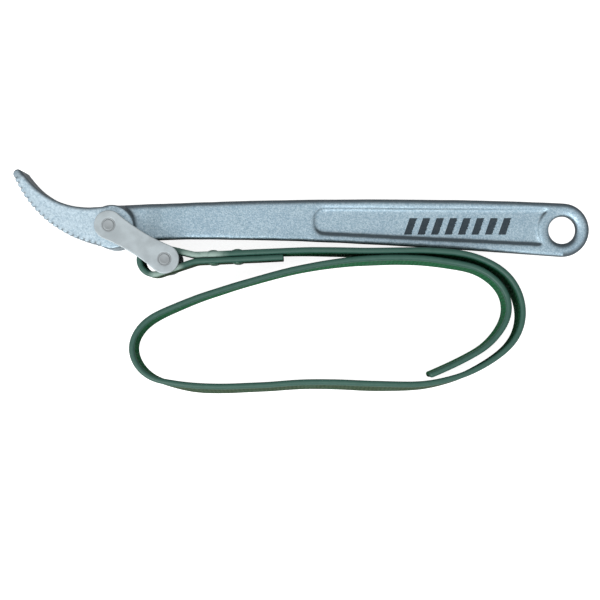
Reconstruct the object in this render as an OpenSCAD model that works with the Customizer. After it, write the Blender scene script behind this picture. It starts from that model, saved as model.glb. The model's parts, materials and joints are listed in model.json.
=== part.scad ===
// Strap wrench: a forged handle with a toothed, curved jaw at its head, a pair of riveted
// side plates that swing on the head, and a long strap whose folded eye hangs on the plates'
// lower pin. The tool lies flat: X runs along the handle, Y across it and Z through it.
// The origin is the centre of the hanging hole, halfway through the handle.

/* [Handle] */
// Thickness of the handle's shaft and of its hanging eye
shaft_thickness = 8; // [6:0.5:10]
// Radius of the rounded hanging end
eye_r = 13.9; // [13:0.1:16]
// Diameter of the hanging hole
hang_hole_d = 14.4; // [10:0.1:16]
// Width of the rounded lead-in around the hanging hole
hole_lead_in = 2.6; // [1:0.1:3]
// Depth of the lead-in into each face
hole_lead_in_depth = 1.2; // [0.5:0.1:2]
// Depth of the sunk panel in each face of the shaft
panel_depth = 1.5; // [0.5:0.1:2]

/* [Head] */
// Width of the jaw and hub, across the strap
head_w = 25.8; // [20:0.2:30]
// Radius of the round hub
hub_r = 11.4; // [10.5:0.1:12.5]
// Radius of the toothed lower edge of the jaw
tooth_arc_r = 58.6; // [58:0.1:60]
// Radius of the hollow upper edge of the jaw
back_arc_r = 40.9; // [40:0.1:42]
// Radius of the jaw's tip
tip_r = 2.4; // [2:0.1:2.8]
// Number of teeth along the jaw
teeth = 19; // [12:1:24]
// Depth of the grooves between teeth
tooth_depth = 0.8; // [0.3:0.1:1.2]

/* [Side plates] */
// Distance between the plates' two rivets
plate_centres = 33.5; // [32:0.5:36]
// Tilt of the plates below the handle, in degrees
plate_tilt = 31.4; // [28:0.2:34]
// Radius of the plates' round ends
plate_end_r = 7.5; // [6.5:0.1:8.5]
// Half-width of the plates' waist
plate_waist = 6.15; // [5.5:0.05:6.4]
// Thickness of one plate
plate_t = 3; // [2:0.5:4]
// Gap between the two plates
plate_gap = 26; // [26:0.2:27]

/* [Rivets] */
// Diameter of the pivot rivet and the strap rivet
rivet_d = 5.8; // [5:0.1:6.4]
// Radius of the countersink that each rivet end is closed into
countersink_r = 3.5; // [3.3:0.1:4]
// Height of the domed rivet ends above the plates
rivet_dome = 0.4; // [0.2:0.1:0.8]
// Radial clearance of the parts that turn on the rivets
running_gap = 0.06; // [0.03:0.01:0.1]
// Outer radius of the roller on the strap rivet
roller_r = 3.8; // [3.5:0.1:3.9]

/* [Strap] */
// Width of the strap
strap_w = 25; // [22:0.5:25]
// Thickness of the strap
strap_t = 3; // [2.6:0.1:3]
// Radius of the strap's rounded edges
strap_edge_r = 1; // [0.5:0.1:1.2]
// Direction of the strap as it leaves the plates, in degrees
strap_lead = 2.6; // [2:0.2:3]
// Distance from the strap rivet to the first bend, past the folded-back end
eye_run = 61.7; // [60:0.1:64]
// Middle radius of the round end of the strap's eye
eye_loop_r = 7.4; // [7.2:0.1:7.6]
// Distance from the strap rivet back to the centre of that round end
eye_loop_back = 5.8; // [5:0.1:6]
// Angle at which the eye's legs part from the riveted layers, in degrees
eye_flare = 16; // [14:0.5:18]
// Gap between the two layers that are riveted together
layer_gap = 0.2; // [0.1:0.1:0.4]
// Slit at each bend, which lets one length of strap turn against the next
bend_slit = 1.2; // [1.2:0.1:1.6]

/* [Strap rivets] */
// Distance of the first row of rivets from the strap pin
strap_rivet_start = 24.5; // [22:0.5:26]
// Distance between the two rows
strap_rivet_row = 12.5; // [10:0.5:14]
// Distance between the two rivets of one row, across the strap
strap_rivet_across = 13; // [9:0.5:16]
// Radius of a rivet's body
strap_rivet_r = 1.3; // [1:0.1:2]
// Radius of a rivet's domed head
strap_rivet_head_r = 2.8; // [2.2:0.1:3.4]
// Height of a rivet's domed head
strap_rivet_head = 0.8; // [0.4:0.1:1.2]

/* [Hidden] */
$fn = 96;
steel = [0.70, 0.73, 0.74];
zinc = [0.62, 0.70, 0.76];
green = [0.17, 0.42, 0.30];
through = 1; // extra length of cutting tools past a face

// The pivot's place on the head, and the strap rivet's place below it
pivot = [-234.1, 1.9];
strap_pin = pivot + plate_centres * [cos(plate_tilt), -sin(plate_tilt)];

// The centres of the jaw's two arcs and the angles that each one spans, tip end first
tooth_arc_c = [-229, 49.5];
tooth_arc_span = [203.4, 261];
back_arc_c = [-244.8, 52];
back_arc_span = [216.5, 275];
tip_c = [-281.2, 28.4];
hub_c = [-232.9, 1.1];

// The coil of the strap. Each run is [name, length of one step, turn of each step in
// degrees], and a step is one bend-to-bend length of strap that curves evenly.
coil = [
    ["top", 29, [-4, 3, -7]],
    ["outer", 24.5, [-28, -51, -55, -20]],
    ["lower", 31.5, [-22, -1, 7, -4, -12]],
    ["left", 15.5, [-48, -59, -37]],
    ["return", 33, [-7, -3, -7, -9, -12]],
    ["inner", 20.5, [-40, -66, -31]],
    ["end", 27.5, [-8]],
];
step_names = [for (run = coil) for (k = [1 : len(run[2])]) str("strap_", run[0], "_", k)];
step_len = [for (run = coil) for (turn = run[2]) run[1]];
step_turn = [for (run = coil) for (turn = run[2]) turn];
steps = len(step_names);

// ---- Geometry helpers ----

function polar(centre, r, a) = centre + r * [cos(a), sin(a)];

function bezier(p, t) =
    pow(1 - t, 3) * p[0] + 3 * pow(1 - t, 2) * t * p[1] + 3 * (1 - t) * t * t * p[2] + t * t * t * p[3];

function curve(p, pieces = 24) = [for (i = [0 : pieces]) bezier(p, i / pieces)];

// Chord of an arc that starts along +X, is len long and turns by turn degrees
function chord(len, turn) =
    let (r = len / (turn * PI / 180)) [r * sin(turn), r * (1 - cos(turn))];

function turned(v, a) = [v[0] * cos(a) - v[1] * sin(a), v[0] * sin(a) + v[1] * cos(a)];

// [place, heading] of the start of strap step i
function step_start(i) =
    i == 0 ? [strap_pin + turned([eye_run, (strap_t + layer_gap) / 2], strap_lead), strap_lead]
    : let (before = step_start(i - 1))
      [before[0] + turned(chord(step_len[i - 1], step_turn[i - 1]), before[1]),
       before[1] + step_turn[i - 1]];

// ---- Handle ----

// Top and bottom edges of the shaft, from the hub to the hanging eye
shaft_top = [[-235, 12.1], [-165, 17], [-60, 17], [0, eye_r]];
shaft_bottom = [[-195, -4.7], [-140, -4.4], [-80, -7.9], [0, -eye_r]];

// The shaft's outline runs on under the hub, where these two points close it
shaft_root = [[-212, -5.2], [-224, -6]];

module shaft_outline() {
    polygon(concat(
        curve(shaft_top),
        [for (i = [24 : -1 : 0]) bezier(shaft_bottom, i / 24)],
        shaft_root));
    circle(eye_r);
}

// The jaw between its two arcs: rounded teeth below, a plain hollow edge above
module jaw_outline() {
    per_tooth = 10;
    points = teeth * per_tooth;
    span = tooth_arc_span[1] - tooth_arc_span[0];
    polygon(concat(
        [for (i = [0 : points])
            let (bump = abs(sin(180 * i / per_tooth)))
            polar(tooth_arc_c, tooth_arc_r - tooth_depth * pow(1 - bump, 1.5),
                  tooth_arc_span[0] + span * i / points)],
        [hub_c + [0, -hub_r], hub_c, hub_c + [0, hub_r - 1]],
        [for (a = [back_arc_span[1] : -2 : back_arc_span[0]]) polar(back_arc_c, back_arc_r, a)],
        [for (a = [60 : 20 : 200]) polar(tip_c, tip_r, a)]));
    translate(tip_c) circle(tip_r);
    translate(hub_c) circle(hub_r);
}

// The shaft swells from its own thickness towards the wide head. Each point gives a place
// along the shaft and how far its face stands above the shaft's own face there.
neck_rise = [[-197, 0], [-208, 0.8], [-216, 2.8], [-231, 3.4]];

module neck() {
    profile = concat([[neck_rise[0][0], -shaft_thickness / 2]],
                     [for (p = neck_rise) [p[0], shaft_thickness / 2 + p[1]]]);
    intersection() {
        linear_extrude(head_w, center = true) shaft_outline();
        translate([0, 20, 0]) rotate([90, 0, 0]) linear_extrude(40)
            polygon(concat(profile, [for (i = [3 : -1 : 1])
                [neck_rise[i][0], -shaft_thickness / 2 - neck_rise[i][1]]]));
    }
}

// Hollow round at the foot of the hub, where it rises from the shaft
module hub_foot() {
    foot_r = 3;
    foot_z = shaft_thickness / 2 + 2.6;
    intersection() {
        for (side = [0, 1]) mirror([0, 0, side]) translate([hub_c[0], hub_c[1], foot_z])
            rotate_extrude() difference() {
                translate([hub_r - 1, -foot_r]) square([foot_r + 1, foot_r * 2]);
                translate([hub_r + foot_r, foot_r]) circle(foot_r);
            }
        linear_extrude(head_w, center = true) shaft_outline();
    }
}

// Sunk panel along one face, rounded towards the head and hollow around the hanging hole
module panel_cut() {
    left = -129;
    corner = 5.2;
    right = -8;
    top = [11.3, 10.7];
    bottom = [-2, -7.8];
    land_r = 12.7;
    translate([0, 0, shaft_thickness / 2 - panel_depth]) linear_extrude(panel_depth + through)
        difference() {
            union() {
                polygon([[left + corner, top[0]], [right, top[1]],
                         [right, bottom[1]], [left + corner, bottom[0]]]);
                polygon([[left, top[0] - corner], [left + corner, top[0] - corner],
                         [left + corner, bottom[0] + corner], [left, bottom[0] + corner]]);
                translate([left + corner, top[0] - corner]) circle(corner);
                translate([left + corner, bottom[0] + corner]) circle(corner);
            }
            circle(land_r);
        }
}

module hanging_hole_cut() {
    hole_r = hang_hole_d / 2;
    cylinder(r = hole_r, h = shaft_thickness + 2 * through, center = true);
    for (side = [0, 1]) mirror([0, 0, side])
        translate([0, 0, shaft_thickness / 2 - hole_lead_in_depth])
            cylinder(r1 = hole_r, r2 = hole_r + hole_lead_in, h = hole_lead_in_depth + 0.001);
}

module handle() {
    color(zinc) difference() {
        union() {
            linear_extrude(shaft_thickness, center = true) shaft_outline();
            linear_extrude(head_w, center = true) jaw_outline();
            neck();
            hub_foot();
        }
        for (side = [0, 1]) mirror([0, 0, side]) panel_cut();
        hanging_hole_cut();
        translate([pivot[0], pivot[1], 0])
            cylinder(r = rivet_d / 2 + running_gap, h = head_w + 2 * through, center = true);
    }
}

// ---- Side plates and rivets ----

// Dog-bone outline: two round ends joined by sides that curve in to the waist
module plate_outline() {
    half = plate_centres / 2;
    side_r = (half * half + plate_waist * plate_waist - plate_end_r * plate_end_r)
             / (2 * (plate_end_r - plate_waist));
    side_c = side_r + plate_waist;
    touch = atan2(side_c, half);
    end_arc = [for (a = [-180 + touch : (360 - 2 * touch) / 32 : 180 - touch + 0.01])
               [half + plate_end_r * cos(a), plate_end_r * sin(a)]];
    side_arc = [for (a = [90 - touch : -(90 - touch) / 6 : touch - 89.99])
                [side_r * sin(a), side_c - side_r * cos(a)]];
    right = concat(end_arc, side_arc);
    translate([half, 0]) polygon(concat(right, [for (v = right) -v]));
}

module side_plate() {
    sink = countersink_r - rivet_d / 2;
    translate([pivot[0], pivot[1], plate_gap / 2]) rotate(-plate_tilt) difference() {
        linear_extrude(plate_t) plate_outline();
        for (x = [0, plate_centres]) translate([x, 0, 0]) {
            translate([0, 0, -through])
                cylinder(r = rivet_d / 2 + 0.02, h = plate_t + 2 * through);
            translate([0, 0, plate_t - sink])
                cylinder(r1 = rivet_d / 2 + 0.02, r2 = countersink_r + 0.02, h = sink + 0.001);
        }
    }
}

module side_plate_front() { color(steel) side_plate(); }
module side_plate_rear() { color(steel) mirror([0, 0, 1]) side_plate(); }

// Plain rivet with both ends closed into the countersinks and left slightly domed
module plate_rivet(at) {
    outer = plate_gap / 2 + plate_t;
    sink = countersink_r - rivet_d / 2;
    dome_r = (countersink_r * countersink_r + rivet_dome * rivet_dome) / (2 * rivet_dome);
    color(steel) translate([at[0], at[1], 0]) rotate_extrude()
        for (end = [0, 1]) mirror([0, end]) {
            polygon([[0, 0], [rivet_d / 2, 0], [rivet_d / 2, outer - sink],
                     [countersink_r, outer], [0, outer]]);
            intersection() {
                translate([0, outer - 0.01]) square([countersink_r, rivet_dome + 0.01]);
                translate([0, outer + rivet_dome - dome_r]) circle(dome_r, $fn = 360);
            }
        }
}

module pivot_rivet() { plate_rivet(pivot); }
module strap_pin_rivet() { plate_rivet(strap_pin); }

// Tube that turns on the strap rivet and keeps the plates apart
module strap_roller() {
    color(steel) translate([strap_pin[0], strap_pin[1], 0]) difference() {
        cylinder(r = roller_r, h = head_w, center = true);
        cylinder(r = rivet_d / 2 + running_gap, h = head_w + 2 * through, center = true);
    }
}

// ---- Strap ----

// Section of the strap, standing on edge: thickness along X, width along Y
module strap_section() {
    square([strap_t - 2 * strap_edge_r, strap_w], center = true);
    square([strap_t, strap_w - 2 * strap_edge_r], center = true);
    for (x = [-1, 1]) for (y = [-1, 1])
        translate([x * (strap_t / 2 - strap_edge_r), y * (strap_w / 2 - strap_edge_r)])
            circle(strap_edge_r, $fn = 32);
}

// Strap of the given length and turn, starting at the origin along +X
module strap_arc(len, turn, slit) {
    r = len / (abs(turn) * PI / 180);
    slit_turn = abs(turn) * slit / 2 / len;
    side = turn < 0 ? 1 : 0;
    mirror([0, side]) translate([0, r])
        rotate_extrude(angle = abs(turn) - 2 * slit_turn, start = -90 + slit_turn, $fn = 180)
            translate([r, 0]) strap_section();
}

module strap_step(i) {
    start = step_start(i);
    color(green) translate([start[0][0], start[0][1], 0]) rotate(start[1])
        strap_arc(step_len[i], step_turn[i], bend_slit);
}

// Frame of the eye: origin on the strap rivet, +X along the riveted layers
module at_eye() {
    translate([strap_pin[0], strap_pin[1], 0]) rotate(strap_lead) children();
}

// Offset of each riveted layer from the middle of the fold
layer_y = (strap_t + layer_gap) / 2;
// Radius of the bends where the layers part
neck_r = 12;
// Length of the straight legs between those bends and the round end
leg = (eye_loop_r * cos(eye_flare) - layer_y - neck_r * (1 - cos(eye_flare))) / sin(eye_flare);
// Centre of the round end, and the point where the layers start to part
loop_x = -eye_loop_back;
neck_x = loop_x + eye_loop_r * sin(eye_flare) + leg * cos(eye_flare) + neck_r * sin(eye_flare);
// How far short of the first bend the folded-back end stops
tail_short = 1;

// One face of the folded strap, at the given offset from its middle: upper half, then lower
function eye_half(off, end) = concat(
    [[end, layer_y + off]],
    [for (a = [0 : eye_flare / 4 : eye_flare])
        [neck_x - (neck_r - off) * sin(a), layer_y + neck_r - (neck_r - off) * cos(a)]],
    [for (k = [0 : 14]) let (a = 90 - eye_flare + k * (90 + eye_flare) / 15)
        [loop_x + (eye_loop_r + off) * cos(a), (eye_loop_r + off) * sin(a)]]);

function eye_face(off) =
    let (upper = eye_half(off, eye_run - bend_slit / 2), lower = eye_half(off, eye_run - tail_short))
    concat(upper, [[loop_x - eye_loop_r - off, 0]],
           [for (i = [len(lower) - 1 : -1 : 0]) [lower[i][0], -lower[i][1]]]);

// Places of the strap rivets: along the riveted layers, and across the strap
strap_rivet_x = [strap_rivet_start, strap_rivet_start + strap_rivet_row];
strap_rivet_z = [-strap_rivet_across / 2, strap_rivet_across / 2];

module strap_eye() {
    inner = eye_face(-strap_t / 2);
    color(green) at_eye() difference() {
        linear_extrude(strap_w, center = true)
            polygon(concat(eye_face(strap_t / 2), [for (i = [len(inner) - 1 : -1 : 0]) inner[i]]));
        for (x = strap_rivet_x) for (z = strap_rivet_z) translate([x, 0, z])
            rotate([90, 0, 0]) cylinder(r = strap_rivet_r + 0.01, h = 20, center = true);
    }
}

// Rivets that hold the folded-back end: two rows of two
module strap_rivets() {
    reach = strap_t + layer_gap / 2;
    dome_r = (pow(strap_rivet_head_r, 2) + pow(strap_rivet_head, 2)) / (2 * strap_rivet_head);
    color(green) at_eye() for (x = strap_rivet_x) for (z = strap_rivet_z)
        translate([x, 0, z]) rotate([90, 0, 0]) rotate_extrude() {
            translate([0, -reach]) square([strap_rivet_r, 2 * reach]);
            for (side = [0, 1]) mirror([0, side]) intersection() {
                translate([0, reach]) square([strap_rivet_head_r, strap_rivet_head]);
                translate([0, reach + strap_rivet_head - dome_r]) circle(dome_r);
            }
        }
}

handle();
side_plate_front();
side_plate_rear();
pivot_rivet();
strap_pin_rivet();
strap_roller();
strap_eye();
strap_rivets();
for (i = [0 : steps - 1])
    strap_step(i);
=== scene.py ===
"""Looks of the strap wrench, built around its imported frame. Lengths are metres, MM makes
millimetres, and X runs along the handle, Y across it and Z through it."""
import json
import math

import bmesh
import bpy
import numpy as np
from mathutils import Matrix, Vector, noise

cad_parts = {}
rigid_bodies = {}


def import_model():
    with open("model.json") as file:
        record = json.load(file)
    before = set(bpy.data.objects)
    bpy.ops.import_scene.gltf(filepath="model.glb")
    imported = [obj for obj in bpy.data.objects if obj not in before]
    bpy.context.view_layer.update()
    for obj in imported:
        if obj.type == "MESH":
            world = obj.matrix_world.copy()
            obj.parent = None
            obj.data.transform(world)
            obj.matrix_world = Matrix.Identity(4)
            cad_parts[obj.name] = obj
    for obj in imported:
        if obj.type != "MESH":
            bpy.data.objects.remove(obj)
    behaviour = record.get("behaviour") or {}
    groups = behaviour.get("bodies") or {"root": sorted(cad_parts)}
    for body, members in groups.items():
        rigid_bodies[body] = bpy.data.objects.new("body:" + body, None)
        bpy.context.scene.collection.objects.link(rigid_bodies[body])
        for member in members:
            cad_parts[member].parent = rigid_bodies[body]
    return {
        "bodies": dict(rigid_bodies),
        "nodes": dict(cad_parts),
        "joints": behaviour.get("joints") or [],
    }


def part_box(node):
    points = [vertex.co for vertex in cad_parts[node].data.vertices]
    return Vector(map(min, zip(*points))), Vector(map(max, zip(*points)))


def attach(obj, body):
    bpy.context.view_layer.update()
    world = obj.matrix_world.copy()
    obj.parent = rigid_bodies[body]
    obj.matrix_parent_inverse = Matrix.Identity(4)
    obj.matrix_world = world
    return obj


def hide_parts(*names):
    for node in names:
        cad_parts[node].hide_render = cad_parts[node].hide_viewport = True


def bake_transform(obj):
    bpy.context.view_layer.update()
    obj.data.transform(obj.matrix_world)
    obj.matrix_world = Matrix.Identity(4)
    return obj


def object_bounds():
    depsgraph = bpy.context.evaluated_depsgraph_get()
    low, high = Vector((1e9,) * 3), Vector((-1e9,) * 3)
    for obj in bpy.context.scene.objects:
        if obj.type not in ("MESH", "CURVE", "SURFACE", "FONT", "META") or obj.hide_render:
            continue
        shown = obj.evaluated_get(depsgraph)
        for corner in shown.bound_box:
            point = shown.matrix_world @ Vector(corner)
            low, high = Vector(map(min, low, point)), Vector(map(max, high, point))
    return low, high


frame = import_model()
cad_low, cad_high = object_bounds()

MM = 0.001
joints = {joint["name"]: joint for joint in frame["joints"]}
pivot = Vector(joints["link_swing"]["pos_m"])
strap_pin = Vector(joints["strap_swing"]["pos_m"])


# ---- Small helpers ----

def add_object(name, data):
    """Puts a mesh, lamp or camera in the scene under this name."""
    obj = bpy.data.objects.new(name, data)
    bpy.context.scene.collection.objects.link(obj)
    return obj


def mesh_of(name, points, faces):
    """A smooth-shaded mesh of these points and faces."""
    mesh = bpy.data.meshes.new(name)
    mesh.from_pydata([tuple(p) for p in points], [], faces)
    mesh.polygons.foreach_set("use_smooth", [True] * len(mesh.polygons))
    mesh.update()
    return mesh


def points_of(mesh):
    """The mesh's points as rows of an array."""
    flat = np.empty(len(mesh.vertices) * 3)
    mesh.vertices.foreach_get("co", flat)
    return flat.reshape(-1, 3)


def set_points(mesh, points):
    mesh.vertices.foreach_set("co", points.ravel())
    mesh.update()


def ramp(value, low, high):
    """0 below low, 1 above high, and a smooth rise between."""
    t = np.clip((value - low) / (high - low), 0, 1)
    return t * t * (3 - 2 * t)


def rippled(points, normals, wave, height):
    """The points moved along their normals by soft, uneven ripples."""
    lift = np.array([noise.noise(Vector(p) / wave) for p in points])
    return points + normals * (lift * height)[:, None]


def normals_of(mesh):
    flat = np.empty(len(mesh.vertices) * 3)
    mesh.vertices.foreach_get("normal", flat)
    return flat.reshape(-1, 3)


def even_net(name, cad_node, spacing):
    """A piece in the CAD node's place, its surface rebuilt as an even net of small quads."""
    obj = add_object(name, frame["nodes"][cad_node].data.copy())
    net = obj.modifiers.new("net", "REMESH")
    net.mode = "VOXEL"
    net.voxel_size = spacing
    graph = bpy.context.evaluated_depsgraph_get()
    mesh = bpy.data.meshes.new_from_object(obj.evaluated_get(graph))
    obj.modifiers.clear()
    obj.data = mesh
    mesh.materials.clear()
    mesh.polygons.foreach_set("use_smooth", [True] * len(mesh.polygons))
    return obj


def worn(obj, share, rounds):
    """Rounds the edges off: each point moves part of the way to the mean of its neighbours."""
    mesh = obj.data
    points = points_of(mesh)
    edges = np.empty(len(mesh.edges) * 2, int)
    mesh.edges.foreach_get("vertices", edges)
    a, b = edges.reshape(-1, 2).T
    count = len(points)
    ways = np.bincount(a, minlength=count) + np.bincount(b, minlength=count)
    for _ in range(rounds):
        total = np.stack([np.bincount(a, points[b, k], count)
                          + np.bincount(b, points[a, k], count) for k in range(3)], axis=1)
        points = points + 0.5 * share[:, None] * (total / ways[:, None] - points)
    set_points(mesh, points)


def lathed(name, profile, centre, turns=64):
    """A piece turned round Z through centre. profile holds (radius, height) from end to end, and
    its first and last radius is 0 for a closed end."""
    points, faces, rings = [], [], []
    for radius, height in profile:
        start = len(points)
        count = 1 if radius == 0 else turns
        for k in range(count):
            a = 2 * math.pi * k / count
            points.append(centre + Vector((radius * math.cos(a), radius * math.sin(a), height)))
        rings.append([start + k % count for k in range(turns)])
    closed = profile[0][0] != 0
    for low, high in zip(rings, rings[1:] + ([rings[0]] if closed else [])):
        for k in range(turns):
            face = [low[k], low[(k + 1) % turns], high[(k + 1) % turns], high[k]]
            face = [v for n, v in enumerate(face) if v not in face[:n]]
            if len(face) > 2:
                faces.append(face)
    return add_object(name, mesh_of(name, points, faces))


# ---- Node materials ----

def node(tree, kind, inputs=None, **settings):
    """Adds a node. Each input is a value, or the output of another node to link."""
    made = tree.nodes.new("ShaderNode" + kind)
    for key, value in settings.items():
        setattr(made, key, value)
    for key, value in (inputs or {}).items():
        if isinstance(value, bpy.types.NodeSocket):
            tree.links.new(value, made.inputs[key])
        else:
            made.inputs[key].default_value = value
    return made


def new_material(name):
    """A material with only a Principled shader, and its node tree."""
    material = bpy.data.materials.new(name)
    material.use_nodes = True
    tree = material.node_tree
    return material, tree, tree.nodes["Principled BSDF"]


def blend_colour(tree, share, first, second, mode="MIX"):
    """The colour between first and second. Each is a colour or an output to link."""
    mix = node(tree, "Mix", data_type="RGBA", blend_type=mode)
    for socket, value in (("Factor_Float", share), ("A_Color", first), ("B_Color", second)):
        target = next(s for s in mix.inputs if s.identifier == socket)
        if isinstance(value, bpy.types.NodeSocket):
            tree.links.new(value, target)
        else:
            target.default_value = value
    return next(s for s in mix.outputs if s.identifier == "Result_Color")


def math_node(tree, operation, first, second=0.0, clamp=False):
    inputs = {0: first, 1: second}
    return node(tree, "Math", inputs, operation=operation, use_clamp=clamp).outputs[0]


def noise_node(tree, place, scale, **settings):
    """Noise from 0 to 1. The scale is per millimetre where the place is in millimetres."""
    inputs = {"Vector": place, "Scale": scale, **settings}
    return node(tree, "TexNoise", inputs).outputs["Fac"]


def bands(tree, place, scale, distortion, direction):
    """Soft bands from 0 to 1, across the given direction."""
    inputs = {"Vector": place, "Scale": scale, "Distortion": distortion, "Detail": 1.0}
    return node(tree, "TexWave", inputs, bands_direction=direction).outputs["Fac"]


def span(tree, value, low, high, new_low=0.0, new_high=1.0):
    """value mapped from low..high to new_low..new_high, clamped."""
    inputs = {"Value": value, "From Min": low, "From Max": high,
              "To Min": new_low, "To Max": new_high}
    return node(tree, "MapRange", inputs, interpolation_type="SMOOTHSTEP").outputs["Result"]


def grey(level):
    return (level, level, level, 1.0)


def in_mm(tree):
    """The place on the object, in millimetres."""
    place = node(tree, "TexCoord").outputs["Object"]
    return node(tree, "VectorMath", {0: place, "Scale": 1 / MM}, operation="SCALE").outputs[0]


def printed_bars(tree, place):
    """1 inside a row of slanted bars printed on the panel, and 0 elsewhere."""
    first, last = -81.5, -27.0
    low, high = -2.4, 6.2
    slant, pitch, inked = 0.35, 7.0, 0.55
    parts = node(tree, "SeparateXYZ", {"Vector": place})
    x, y = parts.outputs["X"], parts.outputs["Y"]
    fray = noise_node(tree, place, 2.2, Detail=3.0)
    fray = math_node(tree, "MULTIPLY", math_node(tree, "SUBTRACT", fray, 0.5), 0.3)
    leaning = math_node(tree, "SUBTRACT", x, math_node(tree, "MULTIPLY", y, slant))
    gone = math_node(tree, "SUBTRACT", leaning, first)
    phase = math_node(tree, "FRACT", math_node(tree, "DIVIDE", gone, pitch))
    inside = math_node(tree, "LESS_THAN", math_node(tree, "ADD", phase, fray), inked)
    for edge, limit, operation in ((leaning, first, "GREATER_THAN"), (leaning, last, "LESS_THAN"),
                                   (y, low, "GREATER_THAN"), (y, high, "LESS_THAN")):
        near = math_node(tree, "ADD", edge, math_node(tree, "MULTIPLY", fray, 0.8))
        inside = math_node(tree, "MULTIPLY", inside, math_node(tree, operation, near, limit))
    return inside


def hammered_material():
    """Bluish silver coat over a rough forging: fine speckles, soft mottling, and painted shade on
    the sides and edges.
    """
    material, tree, shader = new_material("hammered_steel")
    place = in_mm(tree)
    speckle = node(tree, "TexVoronoi", {"Vector": place, "Scale": 2.1, "Randomness": 1.0})
    flakes = node(tree, "SeparateColor", {"Color": speckle.outputs["Color"]}).outputs["Red"]
    flakes = span(tree, flakes, 0.3, 1.0, 0.0, 0.5)
    mottle = noise_node(tree, place, 0.9, Detail=5.0, Roughness=0.62)
    patches = noise_node(tree, place, 0.05, Detail=2.0)
    coat = blend_colour(tree, span(tree, mottle, 0.3, 0.7), (0.235, 0.345, 0.42, 1),
                        (0.345, 0.465, 0.545, 1))
    coat = blend_colour(tree, span(tree, patches, 0.35, 0.65, 0.0, 0.4), coat,
                        (0.25, 0.36, 0.45, 1))
    head = node(tree, "SeparateXYZ", {"Vector": place}).outputs["X"]
    head = span(tree, head, pivot.x / MM - 12, pivot.x / MM + 30, 1.0, 0.0)
    bright = blend_colour(tree, span(tree, mottle, 0.35, 0.65), (0.34, 0.45, 0.53, 1),
                          (0.56, 0.68, 0.76, 1))
    coat = blend_colour(tree, math_node(tree, "MULTIPLY", head, 0.8), coat, bright)
    coat = blend_colour(tree, flakes, coat, (0.58, 0.70, 0.76, 1))
    # Painted shade: sides, upper (+Y-facing) edges and the head's lower edges are darkened, plus
    # the shade attribute
    facing = node(tree, "SeparateXYZ", {"Vector": node(tree, "TexCoord").outputs["Normal"]})
    flat = math_node(tree, "ABSOLUTE", facing.outputs["Z"])
    side = span(tree, flat, 0.3, 0.9, 0.85, 0.0)
    upper = span(tree, facing.outputs["Y"], 0.05, 0.44, 0.0, 0.88)
    lower = span(tree, facing.outputs["Y"], -0.40, -0.12, 1.0, 0.0)
    lower = math_node(tree, "MULTIPLY", lower, head)
    wall = math_node(tree, "MULTIPLY", lower, span(tree, flat, 0.12, 0.35, 0.9, 0.0))
    shade = node(tree, "Attribute", attribute_name="shade").outputs["Fac"]
    for darker in (upper, math_node(tree, "MULTIPLY", lower, 0.9)):
        side = math_node(tree, "MAXIMUM", side, darker)
    side = math_node(tree, "MULTIPLY", side, math_node(tree, "SUBTRACT", 1.0, wall))
    side = math_node(tree, "MAXIMUM", side, shade)
    colour = blend_colour(tree, side, coat, (0.035, 0.050, 0.060, 1))
    mark = printed_bars(tree, place)
    front = math_node(tree, "GREATER_THAN", facing.outputs["Z"], 0.7)
    mark = math_node(tree, "MULTIPLY", mark, front)
    colour = blend_colour(tree, math_node(tree, "MULTIPLY", mark, 0.92), colour,
                          (0.012, 0.018, 0.024, 1))
    tree.links.new(colour, shader.inputs["Base Color"])
    dim = math_node(tree, "MAXIMUM", mark, math_node(tree, "MULTIPLY", side, 0.7))
    metal = math_node(tree, "SUBTRACT", 0.75, math_node(tree, "MULTIPLY", dim, 0.7))
    tree.links.new(metal, shader.inputs["Metallic"])
    rough = span(tree, mottle, 0.25, 0.75, 0.50, 0.36)
    tree.links.new(rough, shader.inputs["Roughness"])
    gloss = math_node(tree, "SUBTRACT", 0.5, math_node(tree, "MULTIPLY", mark, 0.42))
    tree.links.new(gloss, shader.inputs["Specular IOR Level"])
    dents = node(tree, "TexVoronoi", {"Vector": place, "Scale": 1.3}, feature="SMOOTH_F1")
    grain = math_node(tree, "MULTIPLY", mottle, 0.8)
    grain = math_node(tree, "ADD", dents.outputs["Distance"], grain)
    bump = node(tree, "Bump", {"Height": grain, "Strength": 0.35, "Distance": 0.22 * MM})
    tree.links.new(bump.outputs["Normal"], shader.inputs["Normal"])
    return material


def satin_material(name, tone, roughness):
    """Plain plated steel: a fine grain and faint cloudy stains."""
    material, tree, shader = new_material(name)
    place = in_mm(tree)
    clouds = noise_node(tree, place, 0.12, Detail=3.0)
    grain = noise_node(tree, place, 3.0, Detail=3.0)
    bright = tuple(1.12 * c for c in tone) + (1,)
    dull = tuple(0.86 * c for c in tone) + (1,)
    colour = blend_colour(tree, span(tree, clouds, 0.3, 0.7), dull, bright)
    colour = blend_colour(tree, span(tree, grain, 0.35, 0.75, 0.0, 0.25), colour, grey(0.30))
    tree.links.new(colour, shader.inputs["Base Color"])
    shader.inputs["Metallic"].default_value = 0.5
    rough = span(tree, grain, 0.2, 0.8, roughness - 0.08, roughness + 0.08)
    tree.links.new(rough, shader.inputs["Roughness"])
    bump = node(tree, "Bump", {"Height": grain, "Strength": 0.15, "Distance": 0.1 * MM})
    tree.links.new(bump.outputs["Normal"], shader.inputs["Normal"])
    return material


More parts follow.
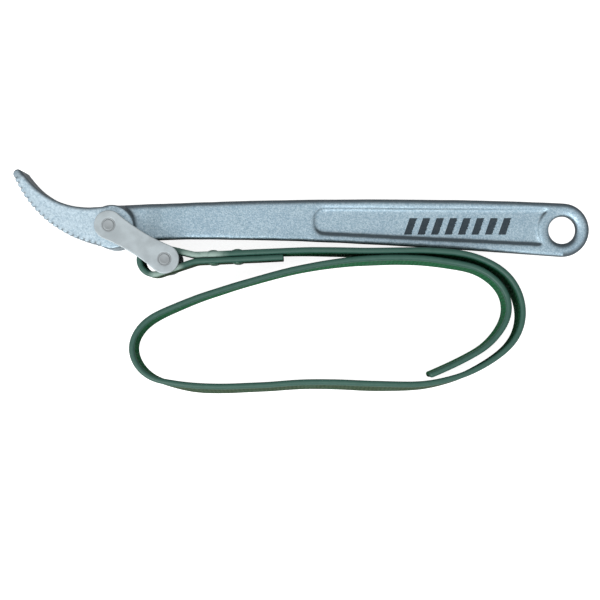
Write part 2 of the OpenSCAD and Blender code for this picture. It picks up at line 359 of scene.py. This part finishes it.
def strap_material():
    """Green coated webbing: woven faces under the coat, and smooth, paler rounded edges."""
    material, tree, shader = new_material("strap")
    place = node(tree, "UVMap", uv_map="strap_mm").outputs["UV"]
    ribs = bands(tree, place, 0.15, 0.6, "X")
    cords = bands(tree, place, 0.20, 0.4, "Y")
    weave = math_node(tree, "MULTIPLY", ribs, cords)
    mottle = noise_node(tree, place, 0.35, Detail=4.0)
    stains = noise_node(tree, place, 0.07, Detail=4.0)
    edge, wear_and_glare, outer = (node(tree, "Attribute", attribute_name=name).outputs["Fac"]
                         for name in ("edge", "wear_and_glare", "outer"))
    face = blend_colour(tree, weave, (0.009, 0.100, 0.038, 1), (0.025, 0.190, 0.080, 1))
    back = blend_colour(tree, weave, (0.030, 0.060, 0.030, 1), (0.070, 0.105, 0.060, 1))
    face = blend_colour(tree, outer, face, back)
    face = blend_colour(tree, span(tree, stains, 0.45, 0.75, 0.0, 0.5), face,
                        (0.05, 0.12, 0.08, 1))
    rim = blend_colour(tree, mottle, (0.016, 0.070, 0.052, 1), (0.034, 0.105, 0.080, 1))
    colour = blend_colour(tree, edge, face, rim)
    # Pale along the eye's edges: real wear above the rivets, painted highlight below the plates
    scuffs_and_glare = math_node(tree, "MULTIPLY", wear_and_glare, span(tree, mottle, 0.15, 0.5), clamp=True)
    colour = blend_colour(tree, scuffs_and_glare, colour, (0.25, 0.35, 0.31, 1))
    tree.links.new(colour, shader.inputs["Base Color"])
    tree.links.new(span(tree, edge, 0.0, 1.0, 0.75, 0.42), shader.inputs["Roughness"])
    tree.links.new(span(tree, edge, 0.0, 1.0, 0.06, 0.40), shader.inputs["Specular IOR Level"])
    relief = math_node(tree, "MULTIPLY", weave, math_node(tree, "SUBTRACT", 1.0, edge))
    relief = math_node(tree, "ADD", relief, math_node(tree, "MULTIPLY", mottle, 0.25))
    bump = node(tree, "Bump", {"Height": relief, "Strength": 0.6, "Distance": 0.2 * MM})
    tree.links.new(bump.outputs["Normal"], shader.inputs["Normal"])
    return material


def strap_rivet_material():
    """Rivet heads dipped in the strap's green coat, rubbed pale on top."""
    material, tree, shader = new_material("strap_rivet")
    mottle = noise_node(tree, in_mm(tree), 1.2, Detail=3.0)
    colour = blend_colour(tree, span(tree, mottle, 0.4, 0.7), (0.03, 0.11, 0.07, 1),
                          (0.16, 0.26, 0.20, 1))
    tree.links.new(colour, shader.inputs["Base Color"])
    tree.links.new(span(tree, mottle, 0.3, 0.7, 0.32, 0.5), shader.inputs["Roughness"])
    shader.inputs["Metallic"].default_value = 0.2
    bump = node(tree, "Bump", {"Height": mottle, "Strength": 0.3, "Distance": 0.15 * MM})
    tree.links.new(bump.outputs["Normal"], shader.inputs["Normal"])
    return material


def finish_piece(obj, material):
    """Gives a piece its material."""
    obj.data.materials.append(material)


# ---- Handle ----

# The jaw's toothed edge: the centre and radius of its arc, and its teeth
tooth_centre = pivot + Vector((5.1 * MM, 47.6 * MM, 0))
tooth_r = 58.6 * MM
tooth_span = (math.radians(203.4), math.radians(261))
teeth = 19
tooth_depth = 1.05 * MM
net_w = 0.53 * MM
wear_rounds = 26
# The jaw's hollow back edge and its tip
back_centre = pivot + Vector((-10.7 * MM, 50.1 * MM, 0))
back_r = 40.9 * MM
tip_centre = pivot + Vector((-47.1 * MM, 26.5 * MM, 0))


def on_teeth(points):
    """(distance from the arc's centre, place along the teeth from 0 to 1) of each point."""
    out = points - np.array(tooth_centre)
    angle = np.arctan2(out[:, 1], out[:, 0]) % (2 * math.pi)
    first, last = tooth_span
    return np.hypot(out[:, 0], out[:, 1]), (angle - first) / (last - first)


def between_teeth(along):
    """1 at the bottom of a gap between two teeth, and 0 at a tooth's tip."""
    return 1 - abs(np.sin(math.pi * along * teeth))


def made_finer(obj, near):
    """Splits every face whose points are all near, so that small shapes can be cut there."""
    form = bmesh.new()
    form.from_mesh(obj.data)
    form.verts.ensure_lookup_table()
    edges = [e for e in form.edges if near[e.verts[0].index] and near[e.verts[1].index]]
    bmesh.ops.subdivide_edges(form, edges=edges, cuts=1, use_grid_fill=True)
    form.to_mesh(obj.data)
    form.free()
    obj.data.polygons.foreach_set("use_smooth", [True] * len(obj.data.polygons))


def inside_edges(points):
    """How far each point of the handle is below its top outline, above its bottom outline and
    inside its round end, seen from above."""
    slot_w = 1 * MM
    slots = ((points[:, 0] - points[:, 0].min()) / slot_w).astype(int)
    top = np.full(slots.max() + 1, -1.0)
    bottom = np.full(slots.max() + 1, 1.0)
    np.maximum.at(top, slots, points[:, 1])
    np.minimum.at(bottom, slots, points[:, 1])
    round_end = points[:, 0].max() - np.hypot(points[:, 0], points[:, 1])
    round_end = np.where(points[:, 0] > 0, round_end, 1.0)
    return top[slots] - points[:, 1], points[:, 1] - bottom[slots], round_end


def painted_edge_shade(points):
    """How much painted shade darkens the coat, 0 to 1: along the top and round-end edges, the
    jaw's back edge and tip, and in the gaps between the teeth.
    """
    below_top, _, round_end = inside_edges(points)
    along_top = 1 - ramp(below_top, 1.3 * MM, 3.3 * MM)
    along_top *= ramp(points[:, 0], pivot.x - 2 * MM, pivot.x + 12 * MM)
    along_end = 1 - ramp(round_end, 0.8 * MM, 3.2 * MM)
    back = np.hypot(points[:, 0] - back_centre.x, points[:, 1] - back_centre.y) - back_r
    along_back = (1 - ramp(back, 0.2 * MM, 2.2 * MM)) * (points[:, 0] < pivot.x)
    tip = 1 - ramp(np.hypot(*(points[:, :2] - np.array(tip_centre)[:2]).T), 2.2 * MM, 3.4 * MM)
    reach, along = on_teeth(points)
    notch = between_teeth(along) ** 1.2
    depth = tooth_r - reach
    on_edge = (1 - ramp(depth, 0.1 * MM, 0.9 * MM)) * 0.45
    between = notch * (1 - ramp(depth, 1.0 * MM, 2.2 * MM))
    teeth_dark = np.maximum(on_edge, between) * (abs(along - 0.5) < 0.5) * (depth > -0.5 * MM)
    darkest = np.maximum.reduce([along_top, along_end, along_back, teeth_dark])
    return np.clip(0.9 * darkest + 0.4 * tip, 0, 0.92)


def build_handle():
    """The forging: a thick, rounded shaft, a wide toothed jaw and the hub between them."""
    obj = even_net("wrench_handle", "handle", net_w)
    points = points_of(obj.data)
    reach, along = on_teeth(points)
    near = (abs(reach - tooth_r) < 1.6 * MM) & (along > -0.01) & (along < 1.01)
    made_finer(obj, near)
    mesh = obj.data
    points = points_of(mesh)
    reach, along = on_teeth(points)
    on_edge = 1 - ramp(abs(reach - tooth_r), 1.2 * MM, 2.6 * MM)
    on_edge *= (along > -0.01) & (along < 1.01)
    on_shaft = ramp(points[:, 0], pivot.x + 20 * MM, pivot.x + 34 * MM)
    near_outline = 1 - ramp(np.minimum.reduce(inside_edges(points)), 3.2 * MM, 5.0 * MM)
    share = 0.22 + on_shaft * (0.45 + 0.33 * near_outline)
    worn(obj, share * (1 - 0.9 * on_edge), wear_rounds)

    points = points_of(mesh)
    normals = normals_of(mesh)
    # The teeth: the edge's wall is moved in between them
    reach, along = on_teeth(points)
    outward = (points - np.array(tooth_centre)) / reach[:, None]
    facing = (normals * outward).sum(1)
    groove = tooth_depth * between_teeth(along) ** 1.5
    wall = (abs(reach - tooth_r) < 1.5 * MM) & (along > 0) & (along < 1) & (facing > 0.4)
    shift = (tooth_r - groove - reach) * ramp(facing, 0.4, 0.8)
    points[wall] += outward[wall] * shift[wall][:, None]
    # The forging's parting line runs round its edge
    parting = np.exp(-(points[:, 2] / (0.5 * MM)) ** 2) * (1 - ramp(abs(normals[:, 2]), 0.1, 0.4))
    points = points + normals * (0.12 * MM * parting * (1 - on_edge))[:, None]
    points = rippled(points, normals, 11 * MM, 0.10 * MM)
    set_points(mesh, points)
    # Painted shade along the edges and in the tooth gaps, kept in the shade attribute
    mesh.attributes.new("shade", "FLOAT", "POINT").data.foreach_set("value", painted_edge_shade(points))
    finish_piece(obj, hammered_material())
    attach(obj, "head_and_handle")
    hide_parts("handle")


# ---- Side plates, rivets and roller ----

def build_side_plates():
    material = satin_material("plated_steel", (0.385, 0.44, 0.465), 0.42)
    for side in ("front", "rear"):
        obj = even_net("plate_" + side, "side_plate_" + side, 0.25 * MM)
        worn(obj, np.ones(len(obj.data.vertices)), 6)
        finish_piece(obj, material)
        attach(obj, "side_links")
        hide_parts("side_plate_" + side)


def build_plate_rivets():
    """The two rivets that hold the plates: plain pins with ends spread into the countersinks."""
    material = satin_material("rivet_steel", (0.28, 0.31, 0.325), 0.5)
    low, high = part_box("pivot_rivet")
    end = high.z
    head_r = (high.x - low.x) / 2
    shank_r = head_r - 0.6 * MM
    plate_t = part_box("side_plate_front")[1].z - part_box("side_plate_front")[0].z
    face = end - 0.4 * MM
    sink = face - (head_r - shank_r)
    # The end is slightly hollow, with a raised ring and a groove round it
    dish = [(0, 0.02), (0.8, 0.03), (1.6, 0.07), (2.2, 0.16), (2.5, 0.18), (2.7, 0.10),
            (2.85, -0.16), (3.0, -0.20), (3.1, -0.02), (3.2, 0.03)]
    top = [(r * MM, face + z * MM) for r, z in dish]
    top += [(head_r, face + 0.03 * MM), (head_r + 0.1 * MM, face - 0.02 * MM),
            (head_r - 0.1 * MM, face - 0.2 * MM), (shank_r, sink), (shank_r, face - plate_t)]
    profile = [(r, -z) for r, z in top] + [(r, z) for r, z in reversed(top)]
    for name, at in (("pivot_rivet", pivot), ("strap_pin_rivet", strap_pin)):
        obj = lathed(name + "_turned", profile, at)
        finish_piece(obj, material)
        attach(obj, "side_links")
        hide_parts(name)


def build_roller():
    material = satin_material("roller_steel", (0.30, 0.33, 0.34), 0.42)
    low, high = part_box("strap_roller")
    outer = (high.x - low.x) / 2
    bore = outer - 0.84 * MM
    end = high.z
    chamfer = 0.25 * MM
    half = [(bore, 0), (bore, end - chamfer), (bore + chamfer, end), (outer - chamfer, end),
            (outer, end - chamfer), (outer, 0)]
    profile = half + [(r, -z) for r, z in reversed(half[1:-1])]
    obj = lathed("pin_roller", profile, strap_pin)
    finish_piece(obj, material)
    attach(obj, "roller")
    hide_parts("strap_roller")


# ---- Strap ----

lead = Vector(joints["strap_slack"]["axis"]).normalized()
lead_angle = math.atan2(lead.y, lead.x)
step_bodies = [body for body in frame["bodies"]
               if "strap_" + body in frame["nodes"] and body not in ("eye", "roller")]
first_bend = Vector(joints["bend_top_1"]["pos_m"])
strap_low, strap_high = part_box("strap_" + step_bodies[0])
strap_w = strap_high.z - strap_low.z
strap_t = 3 * MM
ring_gap = 0.8 * MM


def joint_into(body):
    """The joint that this body hangs on."""
    return next(j for j in frame["joints"] if j["child"] == body)


def turned(vector, angle):
    c, s = math.cos(angle), math.sin(angle)
    return Vector((vector.x * c - vector.y * s, vector.x * s + vector.y * c, vector.z))


class Path:
    """A chain of arcs and straights, each running on from the one before. eased() replaces it
    by a curve whose bend changes gradually, as a springy strap's does."""

    def __init__(self, start, heading):
        self.ends = [(0.0, Vector(start), heading)]
        self.turns = []
        self.samples = None

    def run(self, length, turn=0.0):
        """Adds a stretch of this length that turns by this angle, left being positive."""
        at, place, heading = self.ends[-1]
        self.turns.append((length, turn))
        place = place + self.step(heading, length, turn, length)
        self.ends.append((at + length, place, heading + turn))

    def through(self, place):
        """Adds the arc that meets this place."""
        _, start, heading = self.ends[-1]
        chord = Vector(place) - start
        half = (math.atan2(chord.y, chord.x) - heading + math.pi) % (2 * math.pi) - math.pi
        stretch = half / math.sin(half) if abs(half) > 1e-6 else 1.0
        self.run(chord.length * stretch, 2 * half)

    @staticmethod
    def step(heading, length, turn, gone):
        """How far the path has moved after gone metres of a stretch."""
        angle = turn * gone / length
        if abs(turn) < 1e-9:
            return turned(Vector((gone, 0, 0)), heading)
        r = length / turn
        return turned(Vector((r * math.sin(angle), r * (1 - math.cos(angle)), 0)), heading)

    def exact(self, gone):
        """(place, heading) at this distance along the chain, straight on past its ends."""
        k = sum(1 for end in self.ends[1:-1] if end[0] <= gone)
        start, place, heading = self.ends[k]
        length, turn = self.turns[k]
        inside = min(max(gone - start, 0.0), length)
        place = place + self.step(heading, length, turn, inside)
        heading = heading + turn * inside / length
        extra = gone - start - inside
        return place + turned(Vector((extra, 0, 0)), heading), heading

    def eased(self, width):
        """Evens out the bend over about this width, and keeps the path close to the chain."""
        gap = 0.5 * MM
        margin = 60 * MM
        gone = np.arange(-margin, self.length + margin, gap)
        chain = np.array([self.exact(s)[0][:2] for s in gone])
        reach = int(3 * width / gap)
        kernel = np.exp(-0.5 * (np.arange(-reach, reach + 1) * gap / width) ** 2)
        kernel /= kernel.sum()

        def soft(rows):
            padded = np.pad(rows, ((reach, reach), (0, 0)), mode="reflect", reflect_type="odd")
            return np.stack([np.convolve(padded[:, k], kernel, "valid") for k in (0, 1)], axis=1)

        once = soft(chain)
        places = 2 * once - soft(once)
        slope = np.gradient(places, axis=0)
        headings = np.unwrap(np.arctan2(slope[:, 1], slope[:, 0]))
        self.samples = (gone, places, headings)

    def at(self, gone):
        """(place, heading) at this distance along the path."""
        if self.samples is None:
            return self.exact(gone)
        marks, places, headings = self.samples
        x, y = (float(np.interp(gone, marks, places[:, k])) for k in (0, 1))
        return Vector((x, y, 0)), float(np.interp(gone, marks, headings))

    @property
    def length(self):
        return self.ends[-1][0]


def strap_section():
    """(sideways, up, distance round) of the points round the strap's section. The faces lie a
    little below the rounded edges."""
    edge_r = 1.35 * MM
    sunk = 0.10 * MM
    half_t, half_w = strap_t / 2, strap_w / 2
    side = [(half_t - edge_r + edge_r * math.cos(a), half_w - edge_r + edge_r * math.sin(a))
            for a in np.radians(np.linspace(0, 90, 7))]
    rise = [(half_t - sunk * float(ramp(half_w - z, 2.2 * MM, 3.0 * MM)), z)
            for z in np.linspace(0, half_w - edge_r, 14, endpoint=False)]
    quarter = rise + side
    outline = (quarter + [(-n, z) for n, z in reversed(quarter)]
               + [(-n, -z) for n, z in quarter[1:]] + [(n, -z) for n, z in reversed(quarter[1:])])
    gone, rows = 0.0, []
    for k, (n, z) in enumerate(outline):
        if k:
            gone += math.dist((n, z), outline[k - 1])
        rows.append((n, z, gone))
    return rows


section = strap_section()
section_round = section[-1][2] + math.dist(section[-1][:2], section[0][:2])


def strap_piece(name, path, start, end, lean=None, wear_and_glare=None, round_start=0.0, round_end=0.0):
    """The strap between two distances along a path. Rounded ends are closed and drawn in, and
    cut ends are plain."""
    count = max(2, round((end - start) / ring_gap))
    stations = [(start + (end - start) * k / count, 0.0) for k in range(count + 1)]
    if round_start:
        stations = [(s, i) for s, i in stations if s > start + round_start]
        stations = [(start + round_start * (1 - math.cos(a)), round_start * (1 - math.sin(a)))
                    for a in np.radians([10, 30, 50, 70, 90])] + stations
    if round_end:
        stations = [(s, i) for s, i in stations if s < end - round_end]
        stations += [(end - round_end * (1 - math.cos(a)), round_end * (1 - math.sin(a)))
                     for a in np.radians([90, 70, 50, 30, 10])]
    points, edge, wear_and_glare_at, outer, uv = [], [], [], [], []
    for s, inset in stations:
        place, heading = path.at(s)
        across = Vector((-math.sin(heading), math.cos(heading), 0))
        tilt = lean(s) if lean else Vector((0, 0, 0))
        wobble = 0.10 * MM * noise.noise(Vector((s / (14 * MM), 3.1, 0.7)))
        for n, z, gone in section:
            n, z = n * (1 - inset / (strap_t / 2)), z * (1 - inset / (strap_w / 2))
            leaning = tilt * (0.5 - z / strap_w) + Vector((0, 0, z))
            points.append(place + across * (n + wobble) + leaning)
            edge.append(float(ramp(abs(z), strap_w / 2 - 2.6 * MM, strap_w / 2 - 1.2 * MM)))
            wear_and_glare_at.append(wear_and_glare(s, n, z) if wear_and_glare else 0.0)
            outer.append(1.0 if n > 0 else 0.0)
            uv.append((s / MM, gone / MM))
    k = len(section)
    faces = [[r * k + i, r * k + (i + 1) % k, (r + 1) * k + (i + 1) % k, (r + 1) * k + i]
             for r in range(len(stations) - 1) for i in range(k)]
    faces.append(list(range(k - 1, -1, -1)))
    faces.append([(len(stations) - 1) * k + i for i in range(k)])
    faces = [list(reversed(face)) for face in faces]
    mesh = mesh_of(name, points, faces)
    for attribute, values in (("edge", edge), ("wear_and_glare", wear_and_glare_at), ("outer", outer)):
        mesh.attributes.new(attribute, "FLOAT", "POINT").data.foreach_set("value", values)
    layer = mesh.uv_layers.new(name="strap_mm")
    for polygon in mesh.polygons:
        wraps = polygon.index < len(faces) - 2 and polygon.index % k == k - 1
        for corner in polygon.loop_indices:
            vertex = mesh.loops[corner].vertex_index
            u, v = uv[vertex]
            layer.data[corner].uv = (u, section_round / MM if wraps and vertex % k == 0 else v)
    first, last = set(range(k)), set(range(len(points) - k, len(points)))
    for line in mesh.edges:
        ends = set(line.vertices)
        if ends <= first or ends <= last:
            line.use_edge_sharp = True
    return add_object(name, mesh)


def end_of_strap(path):
    """The middle of the last CAD step's far end."""
    mesh = frame["nodes"]["strap_" + step_bodies[-1]].data
    points = points_of(mesh)
    _, start, heading = path.ends[-1]
    turn = 0.0
    for _ in range(6):
        ahead = np.array(turned(Vector((1, 0, 0)), heading + turn))
        reach = points @ ahead
        far = points[reach > reach.max() - 0.2 * MM]
        middle = Vector((far.min(0) + far.max(0)) / 2)
        chord = middle - start
        turn = 2 * (math.atan2(chord.y, chord.x) - heading)
        turn = (turn + math.pi) % (2 * math.pi) - math.pi
    return Vector((middle.x, middle.y, 0))


# How far the strap's lower edge hangs back from its upper edge at the middle of a step, in mm
hang_back = {"top_1": 1.0, "top_2": 1.5, "top_3": 2.0, "outer_1": 2.4, "outer_2": 2.2,
             "outer_3": 1.7, "outer_4": 1.3, "lower_1": 2.4, "lower_2": 3.8, "lower_3": 3.4,
             "lower_4": 3.2, "lower_5": 3.6, "left_1": 0.4, "left_2": 0.2, "left_3": 1.6,
             "return_1": 0.9, "return_2": 0.4, "return_3": 0.7, "return_4": 1.9, "return_5": 1.5,
             "inner_1": 0.8, "inner_2": 0.2, "inner_3": 0.7, "end_1": 0.4}


def build_coil(material):
    """The long strap, one piece for each bend, from the middle of one step to the next."""
    path = Path(first_bend, lead_angle)
    for body in step_bodies[1:]:
        path.through(joint_into(body)["pos_m"])
    path.through(end_of_strap(path))
    middles = [(path.ends[k][0] + path.ends[k + 1][0]) / 2 for k in range(len(step_bodies))]
    path.eased(4.5 * MM)
    marks = [eye_join - eye_run] + middles
    hang = [0.0] + [hang_back.get(body, 0.0) * MM for body in step_bodies]

    def lean(s):
        """The strap stands a little askew: its lower edge is further from the handle."""
        near = [float(np.interp(s + shift, marks, hang)) for shift in (-6 * MM, 0, 6 * MM)]
        return Vector((0, -sum(near) / 3, 0))

    for k, body in enumerate(step_bodies):
        start = middles[k - 1] if k else eye_join - eye_run
        last = k == len(step_bodies) - 1
        end = path.length if last else middles[k]
        obj = strap_piece("strap_bend_" + body, path, start, end, lean,
                          round_end=1.2 * MM if last else 0.0)
        finish_piece(obj, material)
        parent = joint_into(body)["parent"]
        stop = middles[k] if last else end
        margin = min(1.2 * MM, (stop - start) / 8)
        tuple(path.at(start + margin)[0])
        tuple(path.at(stop - margin)[0])
        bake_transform(obj)
        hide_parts("strap_" + body)


# The eye's frame: its origin is the strap pin and its X runs along the riveted layers
across_lead = Vector((-lead.y, lead.x, 0))
eye_points = points_of(frame["nodes"]["strap_eye"].data) - np.array(strap_pin)
eye_run = (first_bend - strap_pin).dot(lead)
layer_y = (first_bend - strap_pin).dot(across_lead)
loop_r = float((eye_points @ np.array(across_lead)).max()) - strap_t / 2
loop_x = float((eye_points @ np.array(lead)).min()) + loop_r + strap_t / 2
eye_join = eye_run - 16 * MM
tail_short = 1 * MM


def build_eye(material):
    """The folded end: the tail, round the strap pin and back along the riveted layers."""
    flare = math.radians(16)
    neck_r = 12 * MM
    leg = (loop_r * math.cos(flare) - layer_y - neck_r * (1 - math.cos(flare))) / math.sin(flare)
    neck_x = loop_x + (loop_r + neck_r) * math.sin(flare) + leg * math.cos(flare)
    tail_x = eye_run - tail_short
    path = Path(strap_pin + lead * tail_x - across_lead * layer_y, lead_angle + math.pi)
    path.run(tail_x - neck_x)
    path.run(neck_r * flare, flare)
    path.run(leg)
    path.run(loop_r * (math.pi + 2 * flare), -math.pi - 2 * flare)
    path.run(leg)
    path.run(neck_r * flare, flare)
    path.run(eye_join - neck_x)
    worn_above = path.length - (eye_join - neck_x) + 2 * MM
    # Painted highlight: the loop's edges below the plates are painted pale where they face the
    # light
    painted_glare_below = path.ends[4][0] - loop_r * (math.pi / 2 + flare) - 18 * MM

    def wear_and_glare(s, n, z):
        """The coat is rubbed pale along the edges above the rivets, and painted pale below the
        plates as a highlight where the loop faces the light.
        """
        above = 1 - float(ramp(abs(s - worn_above), 5 * MM, 15 * MM))
        below = 1 - float(ramp(abs(s - painted_glare_below), 6 * MM, 10 * MM))
        rim = float(ramp(abs(z), strap_w / 2 - 3 * MM, strap_w / 2 - 1 * MM))
        return max(above, below) * rim

    obj = strap_piece("strap_folded_eye", path, 0.0, path.length, wear_and_glare=wear_and_glare,
                      round_start=0.5 * MM)
    finish_piece(obj, material)
    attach(obj, "eye")
    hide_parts("strap_eye")


def build_strap_rivets():
    """Four rivets through both layers, with low domed heads on both sides."""
    material = strap_rivet_material()
    mesh = frame["nodes"]["strap_rivets"].data
    local = points_of(mesh) - np.array(strap_pin)
    along = local @ np.array(lead)
    height = local[:, 2]
    head_r = 2.8 * MM
    reach = float((local @ np.array(across_lead)).max())
    head_h = 0.8 * MM
    rows = (float(along.min()) + head_r, float(along.max()) - head_r)
    levels = (float(height.min()) + head_r, float(height.max()) - head_r)
    half = [(0.0, reach), (0.8 * MM, reach - 0.03 * MM), (1.5 * MM, reach - 0.16 * MM),
            (2.2 * MM, reach - 0.38 * MM), (2.6 * MM, reach - 0.60 * MM),
            (head_r, reach - head_h), (head_r - 0.2 * MM, reach - head_h - 0.1 * MM),
            (1.3 * MM, reach - head_h - 0.1 * MM)]
    profile = [(r, -z) for r, z in half] + [(r, z) for r, z in reversed(half)]
    for i, x in enumerate(rows):
        for j, z in enumerate(levels):
            obj = lathed(f"strap_rivet_{i + 1}{'ab'[j]}", profile, Vector((0, 0, 0)), 40)
            axes = np.array([lead, Vector((0, 0, 1)), across_lead])
            at = strap_pin + lead * x + Vector((0, 0, z))
            set_points(obj.data, points_of(obj.data) @ axes + np.array(at))
            finish_piece(obj, material)
            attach(obj, "eye")
            if not i and not j:
                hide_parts("strap_rivets")


# ---- Studio ----

def build_studio():
    """A pale floor, a wide soft sky and one large soft light from the lower left."""
    scene = bpy.context.scene
    size = 4.0
    corners = [(-size, -size, 0), (size, -size, 0), (size, size, 0), (-size, size, 0)]
    floor = add_object("floor", mesh_of("floor", corners, [[0, 1, 2, 3]]))
    floor.location.z = cad_low.z - 0.05 * MM
    material, tree, shader = new_material("pale_floor")
    shade = noise_node(tree, in_mm(tree), 0.02)
    colour = blend_colour(tree, shade, grey(0.62), grey(0.66))
    tree.links.new(colour, shader.inputs["Base Color"])
    shader.inputs["Roughness"].default_value = 0.9
    shader.inputs["Emission Color"].default_value = grey(1.0)
    seen = node(tree, "LightPath").outputs["Is Camera Ray"]
    tree.links.new(math_node(tree, "MULTIPLY", seen, 0.84), shader.inputs["Emission Strength"])
    floor.data.materials.append(material)

    world = bpy.data.worlds.new("studio")
    world.use_nodes = True
    scene.world = world
    tree = world.node_tree
    background = tree.nodes["Background"]
    toward = node(tree, "TexCoord").outputs["Generated"]
    key = Vector((-0.35, -0.65, 0.68)).normalized()
    facing = node(tree, "VectorMath", {0: toward, 1: key}, operation="DOT_PRODUCT")
    glow = span(tree, facing.outputs["Value"], -0.5, 1.0, 0.34, 1.15)
    seen = node(tree, "LightPath").outputs["Is Camera Ray"]
    colour = blend_colour(tree, seen, glow, grey(0.92))
    tree.links.new(colour, background.inputs["Color"])

    lamp = bpy.data.lights.new("soft_key", "AREA")
    lamp.shape = "SQUARE"
    lamp.size = 0.9
    lamp.energy = 11.5
    soft = add_object("soft_key", lamp)
    centre = (cad_low + cad_high) / 2
    soft.location = centre + Vector((-0.55, -0.85, 1.15))
    soft.rotation_mode = "QUATERNION"
    soft.rotation_quaternion = (centre - soft.location).to_track_quat("-Z", "Y")

    view = bpy.data.cameras.new("camera")
    view.sensor_width = 36.0
    view.lens = 93.5
    camera = add_object("camera", view)
    camera.location = (-133.7 * MM, -49.3 * MM, 811 * MM)
    camera.rotation_euler = (math.radians(0.92), math.radians(0.18), 0)
    scene.camera = camera
    scene.view_settings.view_transform = "Standard"


build_handle()
build_side_plates()
build_plate_rivets()
build_roller()
strap_green = strap_material()
build_eye(strap_green)
build_coil(strap_green)
build_strap_rivets()
build_studio()
